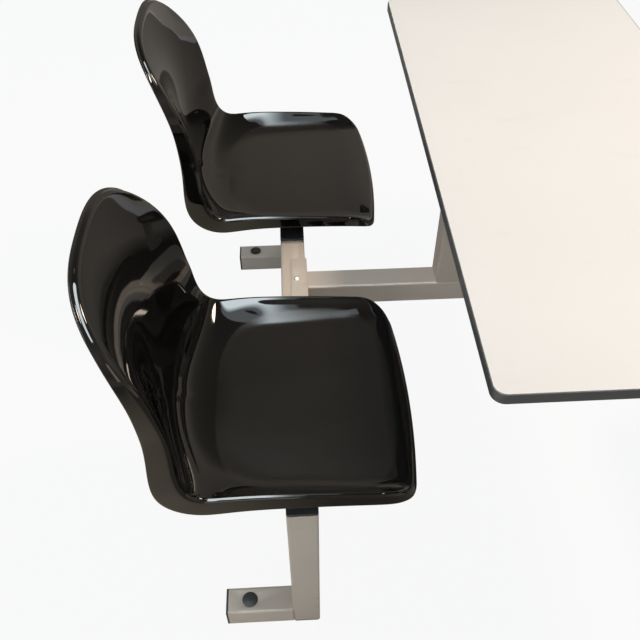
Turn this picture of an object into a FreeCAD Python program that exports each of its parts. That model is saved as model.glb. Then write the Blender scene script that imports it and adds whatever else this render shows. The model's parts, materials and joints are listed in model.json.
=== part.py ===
import FreeCAD, Part
import math
import os
import Sketcher
from types import SimpleNamespace

# Canteen table with four swivelling shell seats on one tube frame.
# X runs across the table, Y along it and Z up; the origin is on the floor under the middle of the top.
# Front is -Y and left is -X. The front left quarter is built, the others are its mirror images.

Vector = FreeCAD.Vector
Rule = Sketcher.Constraint

# Driving sizes in millimetres and degrees: name, value, meaning
SIZES = (
    ("table_length", 1110, "table top along Y"),
    ("table_width", 510, "table top along X"),
    ("table_height", 726, "floor to the upper face of the top"),
    ("table_corner", 18, "corner radius of the top"),
    ("board_thickness", 16, "core of the top"),
    ("laminate_thickness", 1, "sheet on each face of the core"),
    ("band_thickness", 2, "strip round the edge of the top"),
    ("tube_size", 50, "side of the square frame tube"),
    ("tube_wall", 2.5, "wall of the frame tube"),
    ("tube_corner", 5, "outside corner radius of the tube"),
    ("tube_inner_corner", 2.5, "inside corner radius of the tube"),
    ("beam_spacing", 974, "between the middles of the seat beams"),
    ("beam_top", 404, "floor to the upper face of the beams"),
    ("leg_spacing", 1000, "between the middles of the legs of one beam"),
    ("foot_length", 176, "outer end of the foot to the inner face of its leg"),
    ("floor_hole_inset", 45, "outer end of the foot to its floor bolt"),
    ("floor_hole", 11, "floor bolt hole in the lower wall of the foot"),
    ("access_hole", 25, "hole above it in the upper wall"),
    ("plug_lip", 4, "outer part of an end plug"),
    ("plug_depth", 18, "inner part of an end plug"),
    ("plug_clearance", 0.2, "plug to the inside of the tube"),
    ("cap_width", 29, "cap over the access hole"),
    ("cap_lip", 2.5, "thickness of that cap"),
    ("cap_depth", 8, "stem of that cap"),
    ("bracket_length", 120, "rail bracket along the beam"),
    ("bracket_reach", 33, "rail bracket across the beam"),
    ("bracket_thickness", 3, "plate of the rail bracket"),
    ("bracket_bolt_inset", 18, "inner face of the beam to the bracket bolt"),
    ("small_bolt", 8, "thread of the bracket bolt"),
    ("small_head", 14, "head of the bracket bolt"),
    ("small_head_height", 4.4, "height of that head"),
    ("small_nut", 15, "corners of the nut of the bracket bolt"),
    ("small_nut_height", 6.5, "height of that nut"),
    ("post_inset", 52, "long edge of the top to the outer face of the post"),
    ("bearer_length", 900, "bearer under the top"),
    ("bearer_height", 25, "height of bearers and ties"),
    ("tie_spacing", 700, "between the middles of the two ties"),
    ("screw_spacing", 300, "between the two inner screws of a bearer"),
    ("screw_inset", 30, "end of the bearer to its outer screw"),
    ("screw_width", 5, "thread of the wood screws"),
    ("screw_depth", 12, "bite of the wood screws in the core"),
    ("screw_head", 10, "head of the wood screws"),
    ("screw_head_height", 3, "height of that head"),
    ("hole_clearance", 1, "clearance hole over its bolt"),
    ("bolt_width", 8, "thread of the base bolts and seat bolts"),
    ("bolt_head", 14, "head of those bolts"),
    ("bolt_head_height", 4.4, "height of that head"),
    ("bolt_nut", 15, "corners of the nuts in the beam"),
    ("bolt_nut_height", 6.5, "height of those nuts"),
    ("seat_spacing", 644, "between the two pivots of a beam"),
    ("base_width", 50, "swivel base across the beam"),
    ("base_length", 404, "swivel base along the beam"),
    ("base_thickness", 5, "plate of the swivel base"),
    ("base_corner", 4, "corner radius of the swivel base"),
    ("base_bolt_spacing", 120, "between the two bolts of a swivel base"),
    ("ring_inner", 60, "inside of the thrust ring"),
    ("ring_outer", 90, "outside of the thrust ring"),
    ("ring_height", 6, "thrust ring between the two plates"),
    ("plate_size", 190, "side of the swivel plate"),
    ("plate_thickness", 5, "thickness of the swivel plate"),
    ("plate_corner", 20, "corner radius of the swivel plate"),
    ("seat_bolt_spacing", 160, "between the seat bolts both ways"),
    ("hub_width", 36, "hub under the swivel plate"),
    ("hub_gap", 0.5, "hub to the swivel base"),
    ("bush_width", 26, "outside of the bush"),
    ("pivot_width", 20, "pivot post"),
    ("pivot_clearance", 0.05, "running fit of the post in its bush"),
    ("pivot_play", 0.2, "swivel plate to the washer above it"),
    ("spigot_width", 16, "foot of the pivot post in the swivel base"),
    ("stud_width", 12, "threaded top of the pivot post"),
    ("washer_width", 34, "retaining washer"),
    ("washer_thickness", 2, "thickness of that washer"),
    ("nut_width", 22, "corners of the retaining nut"),
    ("nut_height", 8, "height of that nut"),
    ("stud_excess", 1.5, "stud past its nut"),
    ("stop_radius", 90, "pivot to the stop tab"),
    ("stop_width", 10, "width of the stop tab"),
    ("stop_thickness", 4, "plate of the stop tab"),
    ("stop_depth", 4.5, "stop tab below the swivel plate"),
    ("stop_gap", 0.3, "stop tab to its pin at a quarter turn"),
    ("pin_width", 8, "stop pin"),
    ("pin_height", 10, "stop pin above the beam"),
    ("pin_bite", 4.5, "stop pin inside the beam"),
    ("boss_width", 22, "bolt boss under the seat"),
    ("boss_bite", 2, "boss inside the shell"),
    ("bolt_bite", 12, "seat bolt inside its boss"),
    ("seat_height", 442, "floor to the middle of the seat pan"),
    ("shell_thickness", 4, "seat shell"),
    ("seat_front", 167, "pivot to the front of the pan"),
    ("front_bow", 10, "outward bow of the front edge"),
    ("front_drop", 3, "fall of the pan towards its front edge"),
    ("front_drop_length", 45, "length of that fall"),
    ("front_corner", 40, "front corners of the pan"),
    ("seat_half_width", 202, "pivot to the side of the pan"),
    ("pan_rear", 112, "pivot to the start of the bend"),
    ("bend_radius", 70, "bend between pan and back"),
    ("recline", 14, "back away from upright, in degrees"),
    ("shell_length", 520, "pivot to the top of the back, along the unrolled shell"),
    ("back_half_width", 178, "middle of the back to its side"),
    ("waist_start", 198, "unrolled length where the shell begins to narrow"),
    ("waist_end", 316, "unrolled length where it ends narrowing"),
    ("bend_hollow", 34, "deepening of the bend in its middle"),
    ("hollow_run", 78, "start of the bend to the deepest place"),
    ("hollow_end", 460, "unrolled length where the hollow has run out"),
    ("crown_start", 304, "unrolled length where the round top begins"),
    ("crown_fullness", 3, "squareness of the round top"),
    ("crown_lean", 8.5, "backward curl at the very top of the back"),
    ("crown_lean_length", 170, "length of that curl"),
    ("front_cheek", 20, "rise of the pan towards its front corners"),
    ("side_cheek", 30.5, "rise of the pan towards its sides"),
    ("waist_cheek", 12.5, "rise towards the sides at the bend"),
    ("back_cheek", 30, "forward curl of the sides of the back"),
    ("top_cheek", 9, "forward curl of the sides at the top"),
    ("roll_radius", 7.5, "rolled rim"),
    ("rim_flare", 4, "outward slope of the turned-down rim"),
    ("front_rim", 16, "depth of the rim at the front"),
    ("side_rim", 29, "depth of the rim at the rear of the pan"),
    ("waist_rim", 41, "depth of the rim at the bend"),
    ("back_rim", 22, "depth of the rim at the sides of the back"),
    ("top_rim", 11, "depth of the rim round the top of the back"),
)

doc = FreeCAD.newDocument("canteen_table")
sheet = doc.addObject("Spreadsheet::Sheet", "sizes")
for row, (alias, value, meaning) in enumerate(SIZES, 1):
    sheet.set("A%d" % row, meaning)
    sheet.set("B%d" % row, str(value))
    sheet.setAlias("B%d" % row, alias)
doc.recompute()


# A size keeps the text that ties a property to the sheet, and its present number
class Size:
    def __init__(self, text, value):
        self.text = text
        self.value = value

    def joined(self, sign, other, value):
        return Size("(%s %s %s)" % (self.text, sign, text_of(other)), value)

    def __add__(self, other):
        return self.joined("+", other, self.value + value_of(other))

    def __sub__(self, other):
        return self.joined("-", other, self.value - value_of(other))

    def __mul__(self, other):
        return self.joined("*", other, self.value * value_of(other))

    def __truediv__(self, other):
        return self.joined("/", other, self.value / value_of(other))

    def __neg__(self):
        return Size("(0 - %s)" % self.text, -self.value)


def text_of(item):
    return item.text if isinstance(item, Size) else str(item)


def value_of(item):
    return item.value if isinstance(item, Size) else item


s = SimpleNamespace()
for alias, value, meaning in SIZES:
    setattr(s, alias, Size("sizes." + alias, float(sheet.get(alias))))

# Levels above the floor
beam_middle = s.beam_top - s.tube_size / 2
board_bottom = s.table_height - s.laminate_thickness - s.board_thickness
underside = board_bottom - s.laminate_thickness
bearer_bottom = underside - s.bearer_height
base_top = s.beam_top + s.base_thickness
plate_bottom = base_top + s.ring_height
plate_top = plate_bottom + s.plate_thickness
hub_bottom = base_top + s.hub_gap
wall_bottom = s.beam_top - s.tube_wall

# Positions of the front left quarter
beam_x = -s.beam_spacing / 2
leg_y = -s.leg_spacing / 2
pivot_y = -s.seat_spacing / 2
post_x = s.post_inset + s.tube_size / 2 - s.table_width / 2
foot_inner = beam_x + s.tube_size / 2
foot_outer = foot_inner - s.foot_length
floor_hole_x = foot_outer + s.floor_hole_inset
beam_face = beam_x + s.tube_size / 2
bracket_bolt_x = beam_face - s.bracket_bolt_inset
pin_offset = s.stop_width / 2 + s.pin_width / 2 + s.stop_gap

nodes = []
pockets = []


def bind(piece, **sizes):
    for name, size in sizes.items():
        piece.setExpression(name, text_of(size))


def move(piece, x, y, z):
    for axis, place in zip("xyz", (x, y, z)):
        piece.setExpression("Placement.Base." + axis, text_of(place))
    return piece


def node(piece, label):
    piece.Label = label
    nodes.append(piece)
    return piece


# Sketches on the planes of a body
def plane_sketch(body, role):
    sketch = body.newObject("Sketcher::SketchObject", body.Name + "_sketch")
    plane = next(plane for plane in body.Origin.OriginFeatures if plane.Role == role)
    sketch.AttachmentSupport = [(plane, "")]
    sketch.MapMode = "FlatFace"
    return sketch


def dimension(sketch, rule, size):
    index = sketch.addConstraint(rule)
    name = "size%d" % index
    sketch.renameConstraint(index, name)
    sketch.setExpression("Constraints." + name, size.text)


def rounded_loop(sketch, width, height, radius):
    half_x = width.value / 2
    half_y = height.value / 2
    r = radius.value
    corners = ((1, -1), (1, 1), (-1, 1), (-1, -1))
    lines = []
    arcs = []
    for k, (sx, sy) in enumerate(corners):
        px, py = corners[k - 1]
        inset_x = half_x - r if sy == py else half_x
        inset_y = half_y - r if sx == px else half_y
        start = Vector(px * inset_x, py * inset_y, 0)
        end = Vector(sx * inset_x, sy * inset_y, 0)
        lines.append(sketch.addGeometry(Part.LineSegment(start, end)))
    for k, (sx, sy) in enumerate(corners):
        centre = Vector(sx * (half_x - r), sy * (half_y - r), 0)
        turn = math.pi / 2 * (k - 1)
        circle = Part.Circle(centre, Vector(0, 0, 1), r)
        arcs.append(sketch.addGeometry(Part.ArcOfCircle(circle, turn, turn + math.pi / 2)))
    for k in range(4):
        sketch.addConstraint(Rule("Tangent", lines[k], 2, arcs[k], 1))
        sketch.addConstraint(Rule("Tangent", arcs[k], 2, lines[(k + 1) % 4], 1))
        sketch.addConstraint(Rule("Vertical" if k % 2 else "Horizontal", lines[k]))
    for k in range(3):
        sketch.addConstraint(Rule("Equal", arcs[k], arcs[k + 1]))
    sketch.addConstraint(Rule("Symmetric", arcs[3], 3, arcs[1], 3, -1, 1))
    dimension(sketch, Rule("Radius", arcs[0], r), radius)
    dimension(sketch, Rule("DistanceX", lines[3], 1, lines[1], 1, width.value), width)
    dimension(sketch, Rule("DistanceY", lines[0], 1, lines[2], 1, height.value), height)


def round_hole(sketch, x, y, across):
    centre = Vector(value_of(x), value_of(y), 0)
    circle = sketch.addGeometry(Part.Circle(centre, Vector(0, 0, 1), across.value / 2))
    dimension(sketch, Rule("Diameter", circle, across.value), across)
    for name, place, axis in (("DistanceX", x, -2), ("DistanceY", y, -1)):
        if value_of(place) == 0:
            sketch.addConstraint(Rule("PointOnObject", circle, 3, axis))
        elif value_of(place) > 0:
            dimension(sketch, Rule(name, -1, 1, circle, 3, place.value), place)
        else:
            dimension(sketch, Rule(name, circle, 3, -1, 1, -place.value), -place)


def pad(body, sketch, length, side="One side", back=False):
    feature = body.newObject("PartDesign::Pad", body.Name + "_pad")
    feature.Profile = sketch
    feature.SideType = side
    feature.Reversed = back
    bind(feature, Length=length)
    doc.recompute()
    return feature


# Drill from the middle plane of a body upwards, downwards or both ways
def drill(body, holes, *ways):
    for way in ways:
        sketch = plane_sketch(body, "XY_Plane")
        for x, y, across in holes:
            round_hole(sketch, x, y, across)
        feature = body.newObject("PartDesign::Pocket", body.Name + "_holes")
        feature.Profile = sketch
        feature.Type = "ThroughAll"
        feature.Reversed = way == "up"
        doc.recompute()
        pockets.append(feature)
    return body


ACROSS = {"X": "YZ_Plane", "Y": "XZ_Plane", "Z": "XY_Plane"}


def tube(name, along, width, height, length):
    body = doc.addObject("PartDesign::Body", name)
    sketch = plane_sketch(body, ACROSS[along])
    rounded_loop(sketch, width, height, s.tube_corner)
    rounded_loop(sketch, width - s.tube_wall * 2, height - s.tube_wall * 2, s.tube_inner_corner)
    pad(body, sketch, length, side="Symmetric")
    return body


# End plug of a frame tube, with its lip on the back or front side of the end plane
def plug(name, along, lip_back):
    body = doc.addObject("PartDesign::Body", name)
    inside = s.tube_size - s.tube_wall * 2 - s.plug_clearance * 2
    for side, length, back in ((s.tube_size, s.plug_lip, lip_back), (inside, s.plug_depth, not lip_back)):
        sketch = plane_sketch(body, ACROSS[along])
        rounded_loop(sketch, side, side, s.tube_corner)
        pad(body, sketch, length, back=back)
    return body


def rounded_plate(name, width, length, radius, thickness):
    body = doc.addObject("PartDesign::Body", name)
    sketch = plane_sketch(body, "XY_Plane")
    rounded_loop(sketch, width, length, radius)
    pad(body, sketch, thickness)
    return body


# Simple solids
def cylinder(name, across, length, x, y, z):
    piece = doc.addObject("Part::Cylinder", name)
    bind(piece, Radius=across / 2, Height=length)
    return move(piece, x, y, z)


def hexagon(name, corners, length, x, y, z):
    piece = doc.addObject("Part::Prism", name)
    piece.Polygon = 6
    bind(piece, Circumradius=corners / 2, Height=length)
    return move(piece, x, y, z)


def box(name, length, width, height, x, y, z):
    piece = doc.addObject("Part::Box", name)
    bind(piece, Length=length, Width=width, Height=height)
    return move(piece, x, y, z)


# Flat-based dome on the level z, as for a button head
def dome(name, across, height, x, y, z):
    piece = doc.addObject("Part::Sphere", name)
    radius = (height * height + across * across / 4) / (height * 2)
    bind(piece, Radius=radius)
    piece.setExpression("Angle1", "asin(%s)" % ((radius - height) / radius).text)
    return move(piece, x, y, z + height - radius)


def fused(name, pieces):
    piece = doc.addObject("Part::MultiFuse", name)
    piece.Shapes = pieces
    return piece


def cut(name, base, tool):
    piece = doc.addObject("Part::Cut", name)
    piece.Base = base
    piece.Tool = tool
    return piece


def mirrored(piece, normal, suffix):
    image = doc.addObject("Part::Mirroring", piece.Name + suffix)
    image.Source = piece
    image.Normal = normal
    return image


def to_right(piece):
    return mirrored(piece, Vector(1, 0, 0), "_right")


def to_back(piece):
    return mirrored(piece, Vector(0, 1, 0), "_back")


# Sets of mirror images: one node each, or one node for all
def left_and_right(piece, label):
    node(piece, label + "_left")
    node(to_right(piece), label + "_right")


def four_nodes(piece, label):
    right = to_right(piece)
    node(piece, label + "_front_left")
    node(right, label + "_front_right")
    node(to_back(piece), label + "_back_left")
    node(to_back(right), label + "_back_right")


def group(label, pieces, mirrors):
    for mirror in mirrors:
        pieces = pieces + [mirror(piece) for piece in pieces]
    compound = doc.addObject("Part::Compound", label)
    compound.Links = pieces
    node(compound, label)


# Screws of one bearer, along Y from the middle of the table
inner_screw = s.screw_spacing / 2
outer_screw = s.bearer_length / 2 - s.screw_inset
screw_steps = (inner_screw, -inner_screw, outer_screw, -outer_screw)

# Table top
core_width = s.table_width - s.band_thickness * 2
core_length = s.table_length - s.band_thickness * 2
core_corner = s.table_corner - s.band_thickness
screw_holes = [(x, y, s.screw_width) for x in (post_x, -post_x) for y in screw_steps]


def top_layer(label, thickness, level):
    layer = rounded_plate(label, core_width, core_length, core_corner, thickness)
    move(layer, 0, 0, level)
    return node(layer, label)


board = top_layer("table_board", s.board_thickness, board_bottom)
pilot_sketch = plane_sketch(board, "XY_Plane")
for x, y, across in screw_holes:
    round_hole(pilot_sketch, x, y, across)
pilots = board.newObject("PartDesign::Pocket", "pilot_holes")
pilots.Profile = pilot_sketch
pilots.Reversed = True
bind(pilots, Length=s.screw_depth)
doc.recompute()
pockets.append(pilots)
top_layer("top_laminate", s.laminate_thickness, s.table_height - s.laminate_thickness)
drill(top_layer("backing_laminate", s.laminate_thickness, underside), screw_holes, "up")

band = doc.addObject("PartDesign::Body", "edge_band")
band_sketch = plane_sketch(band, "XY_Plane")
rounded_loop(band_sketch, s.table_width, s.table_length, s.table_corner)
rounded_loop(band_sketch, core_width, core_length, core_corner)
pad(band, band_sketch, s.table_height - underside)
move(band, 0, 0, underside)
node(band, "edge_band")

# Bearers and ties under the top
bearer = tube("bearer", "Y", s.tube_size, s.bearer_height, s.bearer_length)
drill(bearer, [(0, y, s.screw_width + s.hole_clearance) for y in screw_steps], "up", "down")
move(bearer, post_x, 0, bearer_bottom + s.bearer_height / 2)
left_and_right(bearer, "bearer")

tie = tube("tie", "X", s.tube_size, s.bearer_height, -post_x * 2 - s.tube_size)
move(tie, 0, -s.tie_spacing / 2, bearer_bottom + s.bearer_height / 2)
node(tie, "tie_front")
node(to_back(tie), "tie_back")

screws = []
shank_length = s.bearer_height + s.laminate_thickness + s.screw_depth
for k, y in enumerate((-inner_screw, -outer_screw)):
    head_level = bearer_bottom - s.screw_head_height
    head = cylinder("screw_head%d" % k, s.screw_head, s.screw_head_height, post_x, y, head_level)
    shank = cylinder("screw_shank%d" % k, s.screw_width, shank_length, post_x, y, bearer_bottom)
    screws.append(fused("screw%d" % k, [head, shank]))
group("top_screws", screws, (to_right, to_back))

# Cross rail with a table post at each side
rail_length = s.beam_spacing - s.tube_size - s.bracket_thickness * 2
rail = tube("rail", "X", s.tube_size, s.tube_size, rail_length)
node(move(rail, 0, 0, beam_middle), "cross_rail")

post_length = bearer_bottom - s.beam_top
post = tube("post", "Z", s.tube_size, s.tube_size, post_length)
left_and_right(move(post, post_x, 0, s.beam_top + post_length / 2), "table_post")

# Rail bracket: a web on the end of the rail and a flange lying on the seat beam
web_height = s.tube_size + s.bracket_thickness
web = box("bracket_web", s.bracket_thickness, s.bracket_length, web_height,
          beam_face, -s.bracket_length / 2, s.beam_top - s.tube_size)
flange = box("bracket_flange", s.bracket_reach, s.bracket_length, s.bracket_thickness,
             beam_face + s.bracket_thickness - s.bracket_reach, -s.bracket_length / 2, s.beam_top)
bracket_hole = cylinder("bracket_hole", s.small_bolt + s.hole_clearance, s.bracket_thickness,
                        bracket_bolt_x, 0, s.beam_top)
bracket_plate = fused("bracket_plate", [web, flange])
left_and_right(cut("bracket", bracket_plate, bracket_hole), "rail_bracket")

bracket_top = s.beam_top + s.bracket_thickness
small_shank_length = s.bracket_thickness + s.tube_wall + s.small_nut_height
small_nut_level = wall_bottom - s.small_nut_height
small_shank = cylinder("small_shank", s.small_bolt, small_shank_length, bracket_bolt_x, 0, small_nut_level)
small_head = dome("small_head", s.small_head, s.small_head_height, bracket_bolt_x, 0, bracket_top)
group("bracket_bolts", [fused("bracket_bolt", [small_shank, small_head])], [to_right])

small_hexagon = hexagon("small_hexagon", s.small_nut, s.small_nut_height, bracket_bolt_x, 0, small_nut_level)
small_thread = cylinder("small_thread", s.small_bolt, s.small_nut_height, bracket_bolt_x, 0, small_nut_level)
group("bracket_nuts", [cut("small_nut", small_hexagon, small_thread)], [to_right])

# Seat beam, drilled for the bracket, the swivel bases and their stop pins
beam = tube("beam", "Y", s.tube_size, s.tube_size, s.leg_spacing - s.tube_size)
beam_holes = [(bracket_bolt_x - beam_x, 0, s.small_bolt + s.hole_clearance)]
for y in (pivot_y, -pivot_y):
    for offset in (s.base_bolt_spacing / 2, -s.base_bolt_spacing / 2):
        beam_holes.append((0, y + offset, s.bolt_width + s.hole_clearance))
    for offset in (s.stop_radius, -s.stop_radius):
        beam_holes.append((-pin_offset, y + offset, s.pin_width))
drill(beam, beam_holes, "up")
left_and_right(move(beam, beam_x, 0, beam_middle), "seat_beam")

# Legs down to the floor, each with a foot against its outer side
leg_length = s.beam_top - s.plug_lip
leg = tube("leg", "Z", s.tube_size, s.tube_size, leg_length)
four_nodes(move(leg, beam_x, leg_y, s.plug_lip + leg_length / 2), "leg")

foot_run = s.foot_length - s.tube_size - s.plug_lip
foot_middle = foot_outer + s.plug_lip + foot_run / 2
foot = tube("foot", "X", s.tube_size, s.tube_size, foot_run)
drill(foot, [(floor_hole_x - foot_middle, 0, s.access_hole)], "up")
drill(foot, [(floor_hole_x - foot_middle, 0, s.floor_hole)], "down")
four_nodes(move(foot, foot_middle, leg_y, s.tube_size / 2), "foot")
outer_plug = plug("outer_plug", "X", lip_back=True)
lower_plug = plug("lower_plug", "Z", lip_back=True)
move(outer_plug, foot_outer + s.plug_lip, leg_y, s.tube_size / 2)
move(lower_plug, beam_x, leg_y, s.plug_lip)
group("foot_plugs", [outer_plug, lower_plug], (to_right, to_back))

cap_lid = cylinder("cap_lid", s.cap_width, s.cap_lip, floor_hole_x, leg_y, s.tube_size)
cap_stem = cylinder("cap_stem", s.access_hole - s.plug_clearance * 2, s.cap_depth,
                    floor_hole_x, leg_y, s.tube_size - s.cap_depth)
group("floor_hole_caps", [fused("floor_hole_cap", [cap_lid, cap_stem])], (to_right, to_back))

# Swivel base, a bar on the beam from the top of the leg, with its bolts and nuts
base = rounded_plate("base", s.base_width, s.base_length, s.base_corner, s.base_thickness)
base_holes = [(0, 0, s.spigot_width)]
for offset in (s.base_bolt_spacing / 2, -s.base_bolt_spacing / 2):
    base_holes.append((0, offset, s.bolt_width + s.hole_clearance))
for offset in (s.stop_radius, -s.stop_radius):
    base_holes.append((-pin_offset, offset, s.pin_width))
drill(base, base_holes, "up")
four_nodes(move(base, beam_x, pivot_y, s.beam_top), "swivel_base")

base_bolts = []
base_nuts = []
base_shank_length = s.base_thickness + s.tube_wall + s.bolt_nut_height
base_nut_level = wall_bottom - s.bolt_nut_height
for k, y in enumerate((pivot_y - s.base_bolt_spacing / 2, pivot_y + s.base_bolt_spacing / 2)):
    shank = cylinder("base_shank%d" % k, s.bolt_width, base_shank_length, beam_x, y, base_nut_level)
    head = dome("base_head%d" % k, s.bolt_head, s.bolt_head_height, beam_x, y, base_top)
    base_bolts.append(fused("base_bolt%d" % k, [shank, head]))
    blank = hexagon("base_hexagon%d" % k, s.bolt_nut, s.bolt_nut_height, beam_x, y, base_nut_level)
    thread = cylinder("base_thread%d" % k, s.bolt_width, s.bolt_nut_height, beam_x, y, base_nut_level)
    base_nuts.append(cut("base_nut%d" % k, blank, thread))
group("base_bolts", base_bolts, (to_right, to_back))
group("base_nuts", base_nuts, (to_right, to_back))

# Stop pins in the beam, one for each end of the turn
pins = []
for k, y in enumerate((pivot_y - s.stop_radius, pivot_y + s.stop_radius)):
    pins.append(cylinder("stop_pin%d" % k, s.pin_width, s.pin_height + s.pin_bite,
                         beam_x - pin_offset, y, s.beam_top - s.pin_bite))
group("stop_pins", pins, (to_right, to_back))

# Pivot post with its thrust ring, washer and nut
washer_level = plate_top + s.pivot_play
nut_level = washer_level + s.washer_thickness
stud_length = s.washer_thickness + s.nut_height + s.stud_excess
spigot = cylinder("spigot", s.spigot_width, s.base_thickness, beam_x, pivot_y, s.beam_top)
journal = cylinder("journal", s.pivot_width, washer_level - base_top, beam_x, pivot_y, base_top)
stud = cylinder("stud", s.stud_width, stud_length, beam_x, pivot_y, washer_level)
group("pivot_posts", [fused("pivot_post", [spigot, journal, stud])], (to_right, to_back))


def turned_ring(name, outside, inside, length, level):
    blank = cylinder(name + "_blank", outside, length, beam_x, pivot_y, level)
    hole = cylinder(name + "_hole", inside, length, beam_x, pivot_y, level)
    return cut(name, blank, hole)


ring = turned_ring("thrust_ring", s.ring_outer, s.ring_inner, s.ring_height, base_top)
group("thrust_rings", [ring], (to_right, to_back))
washer = turned_ring("washer", s.washer_width, s.stud_width + s.plug_clearance * 2,
                     s.washer_thickness, washer_level)
group("retaining_washers", [washer], (to_right, to_back))
nut_blank = hexagon("nut_blank", s.nut_width, s.nut_height, beam_x, pivot_y, nut_level)
nut_thread = cylinder("nut_thread", s.stud_width, s.nut_height, beam_x, pivot_y, nut_level)
group("retaining_nuts", [cut("retaining_nut", nut_blank, nut_thread)], (to_right, to_back))

# Swivel plate with its hub and stop tab, turning on the bush
seat_bolt_places = [(x, y) for x in (s.seat_bolt_spacing / 2, -s.seat_bolt_spacing / 2)
                    for y in (s.seat_bolt_spacing / 2, -s.seat_bolt_spacing / 2)]
plate = rounded_plate("plate", s.plate_size, s.plate_size, s.plate_corner, s.plate_thickness)
plate_holes = [(x, y, s.bolt_width + s.hole_clearance) for x, y in seat_bolt_places]
drill(plate, plate_holes + [(0, 0, s.bush_width)], "up")
move(plate, beam_x, pivot_y, plate_bottom)
hub = turned_ring("hub", s.hub_width, s.bush_width, plate_bottom - hub_bottom, hub_bottom)
tab = box("stop_tab", s.stop_thickness, s.stop_width, s.stop_depth,
          beam_x + s.stop_radius - s.stop_thickness / 2, pivot_y - s.stop_width / 2,
          plate_bottom - s.stop_depth)
four_nodes(fused("swivel_plate", [plate, hub, tab]), "swivel_plate")

bush = turned_ring("bush", s.bush_width, s.pivot_width + s.pivot_clearance * 2,
                   plate_top - hub_bottom, hub_bottom)
four_nodes(bush, "pivot_bush")

seat_bolts = []
seat_shank_length = s.plate_thickness + s.bolt_bite
for k, (x, y) in enumerate(seat_bolt_places):
    shank = cylinder("seat_shank%d" % k, s.bolt_width, seat_shank_length,
                     beam_x + x, pivot_y + y, plate_bottom)
    head = cylinder("seat_head%d" % k, s.bolt_head, s.bolt_head_height,
                    beam_x + x, pivot_y + y, plate_bottom - s.bolt_head_height)
    seat_bolts.append(fused("seat_bolt%d" % k, [shank, head]))
bolt_set = doc.addObject("Part::Compound", "seat_bolts")
bolt_set.Links = seat_bolts
four_nodes(bolt_set, "seat_bolts")

# Seat shell. It is drawn unrolled: "along" runs from the pivot over the bend to the top of the back,
# negative towards the front, and "aside" is across. The unrolled sheet is then bent and dished.
v = SimpleNamespace(**{alias: getattr(s, alias).value for alias, value, meaning in SIZES})
RIM_POINTS = 64
PAN_RINGS = 18
RING_CROWDING = 1.5
FRONT_FLAT_SHARE = 0.84
REAR_FLAT_SHARE = 0.74
ROLL_STEPS = (30, 60, 88)
bend_angle = math.radians(90 - v.recline)
bend_end = v.pan_rear + v.bend_radius * bend_angle
BACK_CURL_AT = 400
CROWN_RIM = 40


def eased(x):
    x = min(max(x, 0), 1)
    return x * x * (3 - 2 * x)


def blend(x, points):
    for (x0, y0), (x1, y1) in zip(points, points[1:]):
        if x <= x1:
            share = (max(x, x0) - x0) / (x1 - x0)
            return y0 + (y1 - y0) * share
    return points[-1][1]


def half_width(along):
    narrowing = eased((along - v.waist_start) / (v.waist_end - v.waist_start))
    return v.seat_half_width + (v.back_half_width - v.seat_half_width) * narrowing


# Half of the unrolled rim from the middle of the front to the top, in even steps
def half_rim(count):
    points = []
    corner = v.front_corner
    front_half = half_width(-v.seat_front) - corner
    for k in range(12):
        share = k / 11
        points.append((-v.seat_front - v.front_bow * (1 - share ** 2), share * front_half))
    for k in range(1, 14):
        turn = math.pi / 2 * k / 13
        points.append((-v.seat_front + corner * (1 - math.cos(turn)), front_half + corner * math.sin(turn)))
    side_start = -v.seat_front + corner
    for k in range(1, 60):
        along = side_start + (v.crown_start - side_start) * k / 59
        points.append((along, half_width(along)))
    crown_half = points[-1][1]
    power = 2 / v.crown_fullness
    for k in range(1, 60):
        turn = math.pi / 2 * k / 59
        rise = (v.shell_length - v.crown_start) * math.sin(turn) ** power
        points.append((v.crown_start + rise, crown_half * max(math.cos(turn), 0) ** power))
    lengths = [0]
    for a, b in zip(points, points[1:]):
        lengths.append(lengths[-1] + math.dist(a, b))
    even = []
    for k in range(count):
        goal = lengths[-1] * k / (count - 1)
        even.append(tuple(blend(goal, list(zip(lengths, column))) for column in zip(*points)))
    return even


# Height of the dished surface over the bent sheet
def dish(along, aside):
    share = abs(aside) / half_width(along)
    pan_flat = blend(along, ((-v.seat_front, FRONT_FLAT_SHARE), (v.pan_rear, REAR_FLAT_SHARE)))
    flat = pan_flat * (1 - eased((along - v.pan_rear / 2) / (v.pan_rear + v.bend_radius)))
    rise = blend(along, ((-v.seat_front, v.front_cheek), (0, v.side_cheek), (v.pan_rear, v.side_cheek),
                         (bend_end, v.waist_cheek), (BACK_CURL_AT, v.back_cheek),
                         (v.shell_length, v.top_cheek)))
    fall = v.front_drop * max(1 - (along + v.seat_front) / v.front_drop_length, 0) ** 2
    lean = v.crown_lean * max(1 - (v.shell_length - along) / v.crown_lean_length, 0) ** 2
    past = along - v.pan_rear
    fading = (past - v.hollow_run) / (v.hollow_end - v.pan_rear - v.hollow_run)
    hollow = v.bend_hollow * eased(past / v.hollow_run) * (1 - eased(fading))
    hollow *= max(1 - share ** 2, 0) ** 2
    return rise * (max(share - flat, 0) / (1 - flat)) ** 2 - fall - lean - hollow


# Place in the seat of a point of the sheet, lifted off it towards the sitter
def bent(along, aside, lift):
    turn = min(max((along - v.pan_rear) / v.bend_radius, 0), bend_angle)
    past = max(along - v.pan_rear - v.bend_radius * bend_angle, 0)
    forward = -min(along, v.pan_rear) - v.bend_radius * math.sin(turn) - past * math.cos(bend_angle)
    height = v.bend_radius * (1 - math.cos(turn)) + past * math.sin(bend_angle)
    return Vector(forward + lift * math.sin(turn), aside, height + lift * math.cos(turn))


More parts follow.
